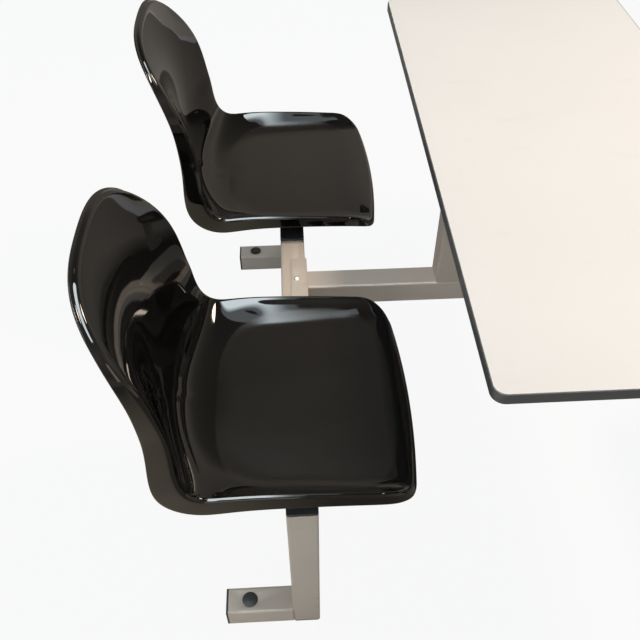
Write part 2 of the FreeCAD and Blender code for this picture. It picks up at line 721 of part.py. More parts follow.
def shell_rings():
    half = half_rim(RIM_POINTS // 2 + 1)
    rim = half + [(along, -aside) for along, aside in half[-2:0:-1]]
    rings = []
    for k in range(PAN_RINGS + 1):
        share = 1 - (1 - k / PAN_RINGS) ** RING_CROWDING
        inner = [(along * share, aside * share) for along, aside in rim]
        rings.append([bent(along, aside, dish(along, aside)) for along, aside in inner])
    outward = []
    for k in range(RIM_POINTS):
        (a0, b0), (a1, b1) = rim[k - 1], rim[(k + 1) % RIM_POINTS]
        size = math.hypot(a1 - a0, b1 - b0)
        outward.append(((b1 - b0) / -size, (a1 - a0) / size))
    sense = -1 if outward[0][0] > 0 else 1
    rolled = [math.radians(step) for step in ROLL_STEPS]
    stages = [(v.roll_radius * math.sin(turn), v.roll_radius * (1 - math.cos(turn))) for turn in rolled]
    for stage in stages + [None]:
        ring = []
        for (along, aside), (oa, ob) in zip(rim, outward):
            depth = blend(along, ((-v.seat_front, v.front_rim), (v.pan_rear, v.side_rim),
                                  (bend_end, v.waist_rim), (BACK_CURL_AT, v.back_rim),
                                  (v.shell_length - CROWN_RIM, v.top_rim)))
            out, down = stage or (v.roll_radius + v.rim_flare, depth)
            lift = dish(along, aside) - down
            ring.append(bent(along + sense * oa * out, aside + sense * ob * out, lift))
        rings.append(ring)
    return rings


# The same rings moved to the other side of the shell
def under_rings(rings):
    under = []
    for i, ring in enumerate(rings):
        row = []
        for j, point in enumerate(ring):
            inner = rings[max(i - 1, 0)][j]
            outer = rings[min(i + 1, len(rings) - 1)][j]
            tangent = ring[(j + 1) % RIM_POINTS] - ring[j - 1]
            normal = (outer - inner).cross(tangent) if i else Vector(0, 0, -1)
            normal.normalize()
            row.append(point + normal * v.shell_thickness)
        under.append(row)
    if under[1][0].z > rings[1][0].z:
        return [[point * 2 - low for point, low in zip(ring, row)] for ring, row in zip(rings, under)]
    return under


def skin(rings):
    surface = Part.BSplineSurface()
    spans = len(rings) - 3
    surface.buildFromPolesMultsKnots(rings, [4] + [1] * (spans - 1) + [4], [1] * (RIM_POINTS + 1),
                                     list(range(spans + 1)), list(range(RIM_POINTS + 1)),
                                     False, True, 3, 3)
    return surface.toShape()


def rim_edge(face):
    closed = [edge for edge in face.Edges if not edge.Degenerated and edge.isClosed()]
    return max(closed, key=lambda edge: edge.Length)


upper_rings = shell_rings()
upper = skin(upper_rings)
lower = skin(under_rings(upper_rings))
edge_face = Part.makeRuledSurface(rim_edge(upper), rim_edge(lower))
skins = Part.makeShell([upper, lower] + edge_face.Faces)
skins.sewShape()
shell_solid = Part.Solid(Part.Shell(skins.Faces))
shell_solid.fix(1e-6, 1e-6, 1e-3)
if shell_solid.Volume < 0:
    shell_solid.reverse()

pan_bottom = v.seat_height - v.shell_thickness
boss_length = pan_bottom + v.boss_bite - plate_top.value
bosses = []
for x, y in seat_bolt_places:
    foot_point = Vector(x.value, y.value, plate_top.value - v.seat_height)
    boss = Part.makeCylinder(v.boss_width / 2, boss_length, foot_point)
    bosses.append(boss.cut(Part.makeCylinder(v.bolt_width / 2, v.bolt_bite, foot_point)))
seat = doc.addObject("Part::Feature", "seat_shell")
seat.Shape = shell_solid.fuse(bosses)
four_nodes(move(seat, beam_x, pivot_y, s.seat_height), "seat_shell")

# Check everything and write the nodes
doc.recompute()
for item in doc.Objects:
    if "Invalid" in item.State or "Error" in item.State:
        raise RuntimeError("not computed: " + item.Name)
for feature in pockets:
    if feature.Shape.Volume >= feature.BaseFeature.Shape.Volume - 1:
        raise RuntimeError("cuts nothing: " + feature.Name)
os.makedirs("parts", exist_ok=True)
for item in nodes:
    shape = item.Shape
    if shape.isNull() or not shape.isValid() or not shape.Solids:
        raise RuntimeError("bad shape: " + item.Label)
    shape.exportStep("parts/%s.step" % item.Label)
print("nodes", len(nodes))
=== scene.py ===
import json
import math

import bmesh
import bpy
from mathutils import Matrix, Vector


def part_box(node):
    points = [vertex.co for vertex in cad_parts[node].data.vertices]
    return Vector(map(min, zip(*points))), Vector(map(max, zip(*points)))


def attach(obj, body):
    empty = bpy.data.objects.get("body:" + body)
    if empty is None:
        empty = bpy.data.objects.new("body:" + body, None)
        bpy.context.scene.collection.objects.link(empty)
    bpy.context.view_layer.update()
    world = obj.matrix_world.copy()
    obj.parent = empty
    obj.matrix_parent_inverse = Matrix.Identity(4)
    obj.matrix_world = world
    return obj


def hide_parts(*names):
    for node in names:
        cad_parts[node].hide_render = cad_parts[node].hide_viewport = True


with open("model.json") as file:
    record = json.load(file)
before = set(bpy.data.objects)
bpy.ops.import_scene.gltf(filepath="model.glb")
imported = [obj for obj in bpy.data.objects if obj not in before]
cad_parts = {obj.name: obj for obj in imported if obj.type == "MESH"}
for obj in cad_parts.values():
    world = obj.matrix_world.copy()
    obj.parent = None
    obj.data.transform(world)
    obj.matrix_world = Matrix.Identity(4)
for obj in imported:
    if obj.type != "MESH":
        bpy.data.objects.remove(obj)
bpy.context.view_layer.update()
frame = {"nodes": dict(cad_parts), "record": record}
print("frame loaded:", len(frame["nodes"]), "nodes")

corners = ("front_left", "front_right", "back_left", "back_right")
tiny = 1e-6


def capped(name):
    return "".join(word.capitalize() for word in name.split("_"))


def camel(name):
    return name[0] + capped(name)[1:]


# shader groups shared by the finishes
def newGroup(name, inputs, outputs):
    group = bpy.data.node_groups.new(name, "ShaderNodeTree")
    for socket, value in inputs.items():
        made = group.interface.new_socket(socket, in_out="INPUT", socket_type="NodeSocketFloat")
        made.default_value = value
    for socket in outputs:
        group.interface.new_socket(socket, in_out="OUTPUT", socket_type="NodeSocketFloat")
    return group, group.nodes.new("NodeGroupInput"), group.nodes.new("NodeGroupOutput")


def addNoise(tree, coords, scale, detail, rough=0.5):
    noise = tree.nodes.new("ShaderNodeTexNoise")
    noise.inputs["Detail"].default_value = detail
    noise.inputs["Roughness"].default_value = rough
    tree.links.new(coords, noise.inputs["Vector"])
    tree.links.new(scale, noise.inputs["Scale"])
    return noise.outputs["Fac"]


def remap(tree, value, low, high, start=0.0, end=1.0):
    node = tree.nodes.new("ShaderNodeMapRange")
    node.inputs["From Min"].default_value = low
    node.inputs["From Max"].default_value = high
    node.inputs["To Min"].default_value = start
    node.inputs["To Max"].default_value = end
    tree.links.new(value, node.inputs["Value"])
    return node.outputs["Result"]


def calc(tree, operation, first, second=0.0):
    node = tree.nodes.new("ShaderNodeMath")
    node.operation = operation
    for socket, item in zip(node.inputs, (first, second)):
        if isinstance(item, (int, float)):
            socket.default_value = item
        else:
            tree.links.new(item, socket)
    return node.outputs[0]


def splitAxes(tree, vector):
    split = tree.nodes.new("ShaderNodeSeparateXYZ")
    tree.links.new(vector, split.inputs[0])
    return split.outputs


# where each noise begins to show and where it is full
noiseFades = {"mottle": (0.3, 0.7), "smear": (0.42, 0.72), "scuff": (0.66, 0.74)}


# fine surface texture: a height for bumps and a soft mottle
def buildFineTexture():
    scales = {"Grain Scale": 900, "Mottle Scale": 6}
    group, inputs, outputs = newGroup("fineTexture", scales, ("Height", "Mottle"))
    coords = group.nodes.new("ShaderNodeTexCoord").outputs["Object"]
    grain = addNoise(group, coords, inputs.outputs["Grain Scale"], detail=2)
    mottle = addNoise(group, coords, inputs.outputs["Mottle Scale"], detail=4, rough=0.6)
    group.links.new(grain, outputs.inputs["Height"])
    group.links.new(remap(group, mottle, *noiseFades["mottle"]), outputs.inputs["Mottle"])
    return group


# smears and rubbed marks from use, drawn out along one slanting line
def buildHandling():
    scales = {"Smear Scale": 9, "Scuff Scale": 60}
    group, inputs, outputs = newGroup("handling", scales, ("Smear", "Scuff"))
    coords = group.nodes.new("ShaderNodeTexCoord").outputs["Object"]
    stretch = group.nodes.new("ShaderNodeMapping")
    stretch.inputs["Scale"].default_value = (0.35, 1, 1)
    stretch.inputs["Rotation"].default_value = (0, 0, 0.6)
    group.links.new(coords, stretch.inputs["Vector"])
    drawn = stretch.outputs["Vector"]
    smear = addNoise(group, drawn, inputs.outputs["Smear Scale"], detail=5, rough=0.62)
    scuff = addNoise(group, drawn, inputs.outputs["Scuff Scale"], detail=2)
    group.links.new(remap(group, smear, *noiseFades["smear"]), outputs.inputs["Smear"])
    group.links.new(remap(group, scuff, *noiseFades["scuff"]), outputs.inputs["Scuff"])
    return group


fineTexture = buildFineTexture()
handling = buildHandling()


def placeGroup(tree, group, **values):
    node = tree.nodes.new("ShaderNodeGroup")
    node.node_tree = group
    for name, value in values.items():
        node.inputs[name.replace("_", " ")].default_value = value
    return node


def mixColours(tree, fac, first, second):
    mix = tree.nodes.new("ShaderNodeMix")
    mix.data_type = "RGBA"
    tree.links.new(fac, mix.inputs["Factor"])
    for socket, colour in zip((mix.inputs[6], mix.inputs[7]), (first, second)):
        if isinstance(colour, tuple):
            socket.default_value = (*colour, 1)
        else:
            tree.links.new(colour, socket)
    return mix.outputs[2]


def addBump(tree, shader, height, strength, distance):
    bump = tree.nodes.new("ShaderNodeBump")
    bump.inputs["Strength"].default_value = strength
    bump.inputs["Distance"].default_value = distance
    tree.links.new(height, bump.inputs["Height"])
    tree.links.new(bump.outputs["Normal"], shader.inputs["Normal"])


def newFinish(name):
    material = bpy.data.materials.new(name)
    material.use_nodes = True
    return material, material.node_tree, material.node_tree.nodes["Principled BSDF"]


# one recipe for most finishes: two tones, mottled roughness, fine bump, smears and scuffs
def makeFinish(name, look):
    material, tree, shader = newFinish(name)
    texture = placeGroup(tree, fineTexture, Grain_Scale=look["grain"], Mottle_Scale=look["mottle"])
    marks = placeGroup(tree, handling, Smear_Scale=look.get("smear", 9),
                       Scuff_Scale=look.get("scuff", 60))
    tone = mixColours(tree, texture.outputs["Mottle"], look["colour"], look["tone"])
    worn = calc(tree, "MULTIPLY", marks.outputs["Scuff"], look.get("scuffed", 0.0))
    colour = mixColours(tree, worn, tone, look.get("scuffColour", look["tone"]))
    tree.links.new(colour, shader.inputs["Base Color"])
    low, high = look["roughness"]
    tree.links.new(remap(tree, marks.outputs["Smear"], 0, 1, low, high), shader.inputs["Roughness"])
    addBump(tree, shader, texture.outputs["Height"], look["bump"], look["bumpDepth"])
    shader.inputs["Metallic"].default_value = look.get("metallic", 0.0)
    return material


# the shell is glossy all over but for a satin panel in the pan, drawn on the unrolled sheet
def makeShellFinish(name, look):
    material, tree, shader = newFinish(name)
    texture = placeGroup(tree, fineTexture, Grain_Scale=look["grain"], Mottle_Scale=look["mottle"])
    marks = placeGroup(tree, handling, Smear_Scale=look["smear"])
    tone = mixColours(tree, texture.outputs["Mottle"], look["colour"], look["tone"])
    sheet = tree.nodes.new("ShaderNodeUVMap")
    sheet.uv_map = "unrolled"
    axes = splitAxes(tree, sheet.outputs["UV"])
    along = calc(tree, "SUBTRACT", axes["X"], look["panelMiddle"])
    across = calc(tree, "ABSOLUTE", axes["Y"])
    width = calc(tree, "ADD", calc(tree, "MULTIPLY", along, look["panelWiden"]), look["panelWidth"])
    alongHalf = calc(tree, "DIVIDE", calc(tree, "ABSOLUTE", along), look["panelLength"])
    alongShare = calc(tree, "POWER", alongHalf, look["panelSquare"])
    acrossShare = calc(tree, "POWER", calc(tree, "DIVIDE", across, width), look["panelSquare"])
    reach = calc(tree, "ADD", alongShare, acrossShare)
    panel = remap(tree, reach, *look["panelFade"], 1.0, 0.0)
    tree.links.new(mixColours(tree, panel, tone, look["panelColour"]), shader.inputs["Base Color"])
    gloss = remap(tree, marks.outputs["Smear"], 0, 1, *look["gloss"])
    satin = remap(tree, marks.outputs["Smear"], 0, 1, *look["satin"])
    gap = calc(tree, "SUBTRACT", satin, gloss)
    rough = calc(tree, "ADD", gloss, calc(tree, "MULTIPLY", gap, panel))
    tree.links.new(rough, shader.inputs["Roughness"])
    addBump(tree, shader, texture.outputs["Height"], look["bump"], look["bumpDepth"])
    return material


finishes = {
    "shell": makeShellFinish("shellGlossBlack", {
        "colour": (0.0028, 0.0026, 0.0024), "tone": (0.0045, 0.0042, 0.0038), "grain": 1400,
        "mottle": 5, "smear": 7, "gloss": (0.03, 0.075), "satin": (0.19, 0.24), "bump": 0.02,
        "bumpDepth": 0.0002, "panelColour": (0.0105, 0.0092, 0.0078), "panelMiddle": -0.012,
        "panelLength": 0.146, "panelWidth": 0.187, "panelWiden": -0.06, "panelSquare": 3.6,
        "panelFade": (0.95, 1.05)}),
    "frame": makeFinish("frameChampagneCoat", {
        "colour": (0.61, 0.51, 0.42), "tone": (0.65, 0.545, 0.45), "grain": 700, "mottle": 4,
        "roughness": (0.46, 0.58), "bump": 0.12, "bumpDepth": 0.0004, "smear": 5, "scuff": 45,
        "scuffed": 0.3, "scuffColour": (0.45, 0.38, 0.31), "metallic": 0.12}),
    "laminate": makeFinish("topLaminate", {
        "colour": (0.88, 0.83, 0.79), "tone": (0.90, 0.855, 0.815), "grain": 1100, "mottle": 3,
        "roughness": (0.33, 0.45), "bump": 0.06, "bumpDepth": 0.0002, "smear": 3, "scuff": 30,
        "scuffed": 0.12, "scuffColour": (0.74, 0.71, 0.67)}),
    "edge": makeFinish("edgeBandGrey", {
        "colour": (0.084, 0.083, 0.081), "tone": (0.100, 0.098, 0.094), "grain": 900, "mottle": 10,
        "roughness": (0.38, 0.5), "bump": 0.1, "bumpDepth": 0.0003, "scuffed": 0.3,
        "scuffColour": (0.15, 0.148, 0.145)}),
    "plug": makeFinish("plugBlack", {
        "colour": (0.016, 0.016, 0.016), "tone": (0.024, 0.024, 0.024), "grain": 1200, "mottle": 30,
        "roughness": (0.42, 0.56), "bump": 0.2, "bumpDepth": 0.0003, "scuffed": 0.2,
        "scuffColour": (0.07, 0.07, 0.07)}),
    "plated": makeFinish("platedSteel", {
        "colour": (0.76, 0.73, 0.69), "tone": (0.84, 0.81, 0.77), "grain": 1600, "mottle": 60,
        "roughness": (0.28, 0.42), "bump": 0.06, "bumpDepth": 0.0001, "metallic": 0.55}),
    "swivel": makeFinish("swivelBlackSteel", {
        "colour": (0.022, 0.022, 0.022), "tone": (0.032, 0.031, 0.03), "grain": 800, "mottle": 14,
        "roughness": (0.4, 0.55), "bump": 0.15, "bumpDepth": 0.0003, "scuffed": 0.35,
        "scuffColour": (0.16, 0.15, 0.14)}),
    "bearing": makeFinish("bearingNylon", {
        "colour": (0.62, 0.6, 0.54), "tone": (0.7, 0.68, 0.62), "grain": 1200, "mottle": 20,
        "roughness": (0.4, 0.5), "bump": 0.1, "bumpDepth": 0.0002}),
    "backing": makeFinish("topBacking", {
        "colour": (0.36, 0.345, 0.325), "tone": (0.42, 0.4, 0.38), "grain": 800, "mottle": 6,
        "roughness": (0.55, 0.7), "bump": 0.15, "bumpDepth": 0.0003}),
    "core": makeFinish("topCore", {
        "colour": (0.42, 0.29, 0.17), "tone": (0.56, 0.41, 0.26), "grain": 420, "mottle": 160,
        "roughness": (0.75, 0.9), "bump": 0.5, "bumpDepth": 0.0008}),
}
print("finishes:", len(finishes))

slotOf = {entry["node"]: entry["material_slot"] for entry in frame["record"]["subparts"]}
bodyOf = {}
for body, members in frame["record"]["behaviour"]["bodies"].items():
    for node in members:
        bodyOf[node] = body


def dress(obj, slot):
    obj.data.materials.clear()
    obj.data.materials.append(finishes[slot])


# a finished mesh becomes a piece that rides on a body and stands for CAD nodes
def addPiece(name, bm, body, slot, nodes=(), sharpAngle=35):
    for edge in bm.edges:
        edge.smooth = not edge.is_manifold or edge.calc_face_angle(0) < math.radians(sharpAngle)
    for face in bm.faces:
        face.smooth = True
    mesh = bpy.data.meshes.new(name)
    bm.to_mesh(mesh)
    bm.free()
    obj = bpy.data.objects.new(name, mesh)
    bpy.context.scene.collection.objects.link(obj)
    dress(obj, slot)
    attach(obj, body)
    if nodes:
        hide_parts(*nodes)
    return obj


# seat shells
seat = {
    "panHeight": 0.442, "front": 0.167, "bow": 0.010, "corner": 0.040, "halfWidth": 0.202,
    "drop": 0.003, "dropLength": 0.045, "panRear": 0.112, "bendRadius": 0.070, "bendEase": 0.012,
    "recline": 14.0, "length": 0.520, "backHalf": 0.178, "waistStart": 0.198, "waistEnd": 0.316,
    "crownStart": 0.304, "crownPower": 3.0, "lean": 0.0085, "leanLength": 0.17,
    "cheeks": ((-0.167, 0.020), (0.0, 0.0305), (0.112, 0.0305), (0.205, 0.0122), (0.290, 0.0250),
               (0.400, 0.0305), (0.520, 0.009)),
    "rims": ((-0.167, 0.016), (0.112, 0.029), (0.205, 0.041), (0.400, 0.022), (0.480, 0.011),
             (0.520, 0.011)),
    "hollow": 0.034, "hollowRun": 0.078, "hollowEnd": 0.460, "hollowPower": 1.3,
    "frontFlat": 0.84, "rearFlat": 0.74, "roll": 0.0075, "rollAngles": (22, 45, 68, 90),
    "turnShares": (0.5, 0.9, 1.0), "flare": 0.004, "thickness": 0.004,
    "cells": 34, "crowding": 1.3, "middle": 0.16, "levels": 2,
    "stepsPerMetre": 1000, "steps": 620, "probe": 0.006,
    "rimSteps": {"front": 24, "corner": 24, "side": 89, "crown": 120, "shoulder": 56},
}


def eased(x):
    x = min(max(x, 0.0), 1.0)
    return x * x * (3 - 2 * x)


# smooth curve through a few knots
def through(x, knots):
    if x <= knots[0][0]:
        return knots[0][1]
    if x >= knots[-1][0]:
        return knots[-1][1]
    k = max(i for i in range(len(knots) - 1) if knots[i][0] <= x)
    (x0, y0), (x1, y1) = knots[k], knots[k + 1]
    step = x1 - x0

    def slope(i):
        before, after = knots[max(i - 1, 0)], knots[min(i + 1, len(knots) - 1)]
        return (after[1] - before[1]) / (after[0] - before[0])

    s = (x - x0) / step
    lift = y0 * (1 + 2 * s) * (1 - s) ** 2 + y1 * s * s * (3 - 2 * s)
    return lift + step * (slope(k) * s * (1 - s) ** 2 + slope(k + 1) * s * s * (s - 1))


bendAngle = math.radians(90 - seat["recline"])
bendStart = seat["panRear"] - seat["bendEase"]
bendEnd = seat["panRear"] + seat["bendRadius"] * bendAngle + seat["bendEase"]


def turnAt(along):
    return bendAngle * eased((along - bendStart) / (bendEnd - bendStart))


# middle line of the shell, walked in short steps from the pan to the top
walkStep = 1 / seat["stepsPerMetre"]
middleLine = [(0.0, 0.0)]
for k in range(seat["steps"]):
    turn = turnAt((k + 0.5) * walkStep)
    back, up = middleLine[-1]
    middleLine.append((back - math.cos(turn) * walkStep, up + math.sin(turn) * walkStep))


def onMiddle(along):
    if along <= 0:
        return -along, 0.0
    walked = along * seat["stepsPerMetre"]
    k = min(int(walked), len(middleLine) - 2)
    share = walked - k
    (b0, u0), (b1, u1) = middleLine[k], middleLine[k + 1]
    return b0 + (b1 - b0) * share, u0 + (u1 - u0) * share


def bent(along, aside, lift):
    back, up = onMiddle(along)
    turn = turnAt(along)
    return Vector((back + lift * math.sin(turn), aside, up + lift * math.cos(turn)))


def halfWidth(along):
    narrowing = eased((along - seat["waistStart"]) / (seat["waistEnd"] - seat["waistStart"]))
    return seat["halfWidth"] + (seat["backHalf"] - seat["halfWidth"]) * narrowing


def dish(along, aside):
    share = abs(aside) / halfWidth(along)
    panShare = min(max((along + seat["front"]) / (seat["panRear"] + seat["front"]), 0), 1)
    flat = seat["frontFlat"] + (seat["rearFlat"] - seat["frontFlat"]) * panShare
    flat *= 1 - eased((along - seat["panRear"] / 2) / (seat["panRear"] + seat["bendRadius"]))
    fall = seat["drop"] * max(1 - (along + seat["front"]) / seat["dropLength"], 0) ** 2
    fall += seat["lean"] * max(1 - (seat["length"] - along) / seat["leanLength"], 0) ** 2
    past = along - seat["panRear"]
    fading = (past - seat["hollowRun"]) / (seat["hollowEnd"] - seat["panRear"] - seat["hollowRun"])
    hollow = seat["hollow"] * eased(past / seat["hollowRun"]) * (1 - eased(fading))
    hollow *= max(1 - share ** 2, 0) ** seat["hollowPower"]
    return through(along, seat["cheeks"]) * (max(share - flat, 0) / (1 - flat)) ** 2 - fall - hollow


# half of the unrolled rim, from the middle of the front edge to the top
def halfRim():
    points = []
    front, corner, steps = seat["front"], seat["corner"], seat["rimSteps"]
    frontHalf = halfWidth(-front) - corner
    for k in range(steps["front"]):
        share = k / steps["front"]
        points.append((-front - seat["bow"] * (1 - share ** 2), share * frontHalf))
    for k in range(steps["corner"] + 1):
        turn = math.pi / 2 * k / steps["corner"]
        along = -front + corner * (1 - math.cos(turn))
        points.append((along, frontHalf + corner * math.sin(turn)))
    sideStart = -front + corner
    for k in range(1, steps["side"] + 1):
        along = sideStart + (seat["crownStart"] - sideStart) * k / steps["side"]
        points.append((along, halfWidth(along)))
    crownHalf = points[-1][1]
    crownRise = seat["length"] - seat["crownStart"]
    power = 2 / seat["crownPower"]
    beforeCrown = len(points) - 1
    for k in range(1, steps["crown"] + 1):
        turn = math.pi / 2 * k / steps["crown"]
        along = seat["crownStart"] + crownRise * math.sin(turn) ** power
        points.append((along, crownHalf * max(math.cos(turn), 0) ** power))
    return points, steps["front"] + steps["corner"] // 2, beforeCrown + steps["shoulder"]


rimPoints, cornerAt, shoulderAt = halfRim()
rimRun = [0.0]
for first, second in zip(rimPoints, rimPoints[1:]):
    rimRun.append(rimRun[-1] + math.dist(first, second))


def rimAt(run):
    k = max(next((i for i, r in enumerate(rimRun) if r > run), len(rimRun) - 1), 1)
    share = (run - rimRun[k - 1]) / (rimRun[k] - rimRun[k - 1])
    (a0, b0), (a1, b1) = rimPoints[k - 1], rimPoints[k]
    return a0 + (a1 - a0) * share, b0 + (b1 - b0) * share


# way out of the sheet at the rim, square to the line between two points near by
def outwardAt(run):
    probe = seat["probe"]
    a0, b0 = rimAt(max(run - probe, 0))
    a1, b1 = rimAt(min(run + probe, rimRun[-1]))
    if run < probe:
        a0, b0 = a1, -b1
    if run > rimRun[-1] - probe:
        a1, b1 = a0, -b0
    size = math.hypot(a1 - a0, b1 - b0)
    return -(b1 - b0) / size, (a1 - a0) / size


# where a corner-to-corner square reaches the rim, as a run along the half rim
def squareRun(x, y):
    ring = max(abs(x), abs(y))
    if abs(y) >= abs(x):
        return rimRun[cornerAt] + (rimRun[shoulderAt] - rimRun[cornerAt]) * (x / ring + 1) / 2
    if x < 0:
        return rimRun[cornerAt] * abs(y) / ring
    return rimRun[-1] + (rimRun[shoulderAt] - rimRun[-1]) * abs(y) / ring


shellLayers = ("along", "aside", "outAlong", "outAside")


def shellSurface():
    bm = bmesh.new()
    bmesh.ops.create_grid(bm, x_segments=seat["cells"], y_segments=seat["cells"], size=1)
    for name in shellLayers:
        bm.verts.layers.float.new(name)
    layers = [bm.verts.layers.float[name] for name in shellLayers]
    for vert in bm.verts:
        x, y = vert.co.x, vert.co.y
        ring = max(abs(x), abs(y))
        sign = 1 if y >= 0 else -1
        along, aside = seat["middle"], 0.0
        if ring > tiny:
            run = squareRun(x, y)
            rimAlong, rimAside = rimAt(run)
            share = 1 - (1 - min(ring, 1.0)) ** seat["crowding"]
            along += (rimAlong - seat["middle"]) * share
            aside = rimAside * share * sign
            outAlong, outAside = outwardAt(run)
            vert[layers[2]], vert[layers[3]] = outAlong, outAside * sign
        vert[layers[0]], vert[layers[1]] = along, aside
        vert.co = bent(along, aside, dish(along, aside))
    edges = [edge for edge in bm.edges if edge.is_boundary]
    # the rim rolls over and then turns down, as steps of out, down and share of its depth
    turns = [math.radians(angle) for angle in seat["rollAngles"]]
    rolled = [(seat["roll"] * math.sin(t), seat["roll"] * (1 - math.cos(t)), 0) for t in turns]
    turned = [(seat["roll"], 0, share) for share in seat["turnShares"]]
    for out, down, share in rolled + turned:
        grown = bmesh.ops.extrude_edge_only(bm, edges=edges)["geom"]
        edges = [item for item in grown
                 if isinstance(item, bmesh.types.BMEdge) and item.is_boundary]
        for vert in {vert for edge in edges for vert in edge.verts}:
            along, aside, outAlong, outAside = (vert[layer] for layer in layers)
            depth = through(along, seat["rims"])
            drop = down if share == 0 else seat["roll"] + (depth - seat["roll"]) * share
            reach = out + seat["flare"] * share
            lift = dish(along, aside) - drop
            vert.co = bent(along + outAlong * reach, aside + outAside * reach, lift)
    bmesh.ops.recalc_face_normals(bm, faces=bm.faces)
    panFace = min(bm.faces, key=lambda face: face.calc_center_median().xy.length)
    if panFace.normal.z < 0:
        bmesh.ops.reverse_faces(bm, faces=bm.faces)
    # unrolled place on the shell, in metres, kept as the UV map
    unrolled = bm.loops.layers.uv.new("unrolled")
    for face in bm.faces:
        for loop in face.loops:
            loop[unrolled].uv = (loop.vert[layers[0]], loop.vert[layers[1]])
    for name in shellLayers:
        bm.verts.layers.float.remove(bm.verts.layers.float[name])
    return bm


pivots = {}
for corner in corners:
    low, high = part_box("swivel_base_" + corner)
    middle = (Vector(low) + Vector(high)) / 2
    pivots[corner] = Vector((middle.x, middle.y, 0))


# from a seat that faces +X on the origin to its own pivot, facing the table
def seatPlace(corner):
    spin = Matrix.Rotation(math.pi if corner.endswith("right") else 0, 4, "Z")
    return Matrix.Translation(pivots[corner]) @ spin


shellMesh = shellSurface()
for corner in corners:
    bm = shellMesh.copy()
    lift = Matrix.Translation((0, 0, seat["panHeight"]))
    bmesh.ops.transform(bm, matrix=seatPlace(corner) @ lift, verts=bm.verts)
    shell = addPiece("seatShell" + capped(corner), bm, "seat_" + corner, "shell",
                     ["seat_shell_" + corner], sharpAngle=180)
    wall = shell.modifiers.new("wall", "SOLIDIFY")
    wall.thickness = seat["thickness"]
    wall.offset = -1
    wall.use_even_offset = True
    smooth = shell.modifiers.new("smooth", "SUBSURF")
    smooth.levels = smooth.render_levels = seat["levels"]
shellMesh.free()
print("seat shells:", len(corners))

# bolt bosses under each shell
boss = {"radius": 0.011, "tip": 0.0102, "reach": 0.080, "bottom": 0.420, "top": 0.4375,
        "segments": 28, "soft": 0.001, "softSteps": 2}
for corner in corners:
    bm = bmesh.new()
    for x in (-boss["reach"], boss["reach"]):
        for y in (-boss["reach"], boss["reach"]):
            height = boss["top"] - boss["bottom"]
            place = Matrix.Translation((x, y, boss["bottom"] + height / 2))
            made = bmesh.ops.create_cone(bm, cap_ends=True, segments=boss["segments"],
                                         radius1=boss["tip"], radius2=boss["radius"],
                                         depth=height, matrix=place)
            lowRing = dict.fromkeys(
                edge for vert in made["verts"] for edge in vert.link_edges
                if all(v.co.z < boss["bottom"] + boss["soft"] for v in edge.verts))
            bmesh.ops.bevel(bm, geom=list(lowRing), offset=boss["soft"], segments=boss["softSteps"],
                            affect="EDGES", profile=0.5, material=-1)
    bmesh.ops.transform(bm, matrix=seatPlace(corner), verts=bm.verts)
    addPiece("seatBosses" + capped(corner), bm, "seat_" + corner, "shell")
print("seat bosses:", 4 * len(corners))

# table top: a rounded band round the laminate
top = {"corner": 0.018, "cornerSteps": 14, "band": 0.002, "soft": 0.0014, "softSteps": 3,
       "sharpAngle": 40, "slack": 0.0005}
low, high = (Vector(corner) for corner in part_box("edge_band"))
bm = bmesh.new()
bmesh.ops.create_grid(bm, x_segments=1, y_segments=1, size=0.5)
bmesh.ops.scale(bm, vec=(high.x - low.x, high.y - low.y, 1), verts=bm.verts)
bmesh.ops.translate(bm, vec=(0, 0, low.z), verts=bm.verts)
bmesh.ops.bevel(bm, geom=list(bm.verts), offset=top["corner"], segments=top["cornerSteps"],
                affect="VERTICES", profile=0.5, material=-1)
inner = bmesh.ops.inset_region(bm, faces=list(bm.faces), thickness=top["band"], use_boundary=True,
                               use_even_offset=True)
core = [face for face in bm.faces if face not in inner["faces"]]
bmesh.ops.delete(bm, geom=core, context="FACES")
ring = bmesh.ops.extrude_face_region(bm, geom=list(bm.faces))["geom"]
bmesh.ops.translate(bm, vec=(0, 0, high.z - low.z),
                    verts=[item for item in ring if isinstance(item, bmesh.types.BMVert)])
bmesh.ops.recalc_face_normals(bm, faces=bm.faces)


def onOuter(vert):
    px = max(abs(vert.co.x) - (high.x - top["corner"]), 0)
    py = max(abs(vert.co.y) - (high.y - top["corner"]), 0)
    return math.hypot(px, py) > top["corner"] - top["slack"]


outerRims = [edge for edge in bm.edges if all(onOuter(v) for v in edge.verts)
             and abs(edge.verts[0].co.z - edge.verts[1].co.z) < tiny]
bmesh.ops.bevel(bm, geom=outerRims, offset=top["soft"], segments=top["softSteps"], affect="EDGES",
                profile=0.5, material=-1)
addPiece("edgeBand", bm, "frame", "edge", ["edge_band"], sharpAngle=top["sharpAngle"])
print("table top edged")

# tubes, plates and fasteners: merged copies of the CAD nodes, their edges softened by slot
softening = {
    "frame": 0.0006, "swivel": 0.0005, "bearing": 0.0004, "plated": 0.0003, "plug": 0.0011,
    "merge": 0.00002, "flatAngle": 0.6, "crispAngle": 50, "sharpAngle": 32, "steps": 2,
}


def softCopy(node, slot):
    bm = bmesh.new()
    bm.from_mesh(frame["nodes"][node].data)
    bmesh.ops.remove_doubles(bm, verts=bm.verts, dist=softening["merge"])
    bmesh.ops.dissolve_limit(bm, angle_limit=math.radians(softening["flatAngle"]), verts=bm.verts,
                             edges=bm.edges)
    crispAngle = math.radians(softening["crispAngle"])
    crisp = [edge for edge in bm.edges
             if edge.is_manifold and edge.calc_face_angle_signed(0) > crispAngle]
    bmesh.ops.bevel(bm, geom=crisp, offset=softening[slot], segments=softening["steps"],
                    affect="EDGES", profile=0.5, material=-1, clamp_overlap=True)
    addPiece(camel(node), bm, bodyOf[node], slot, [node], softening["sharpAngle"])


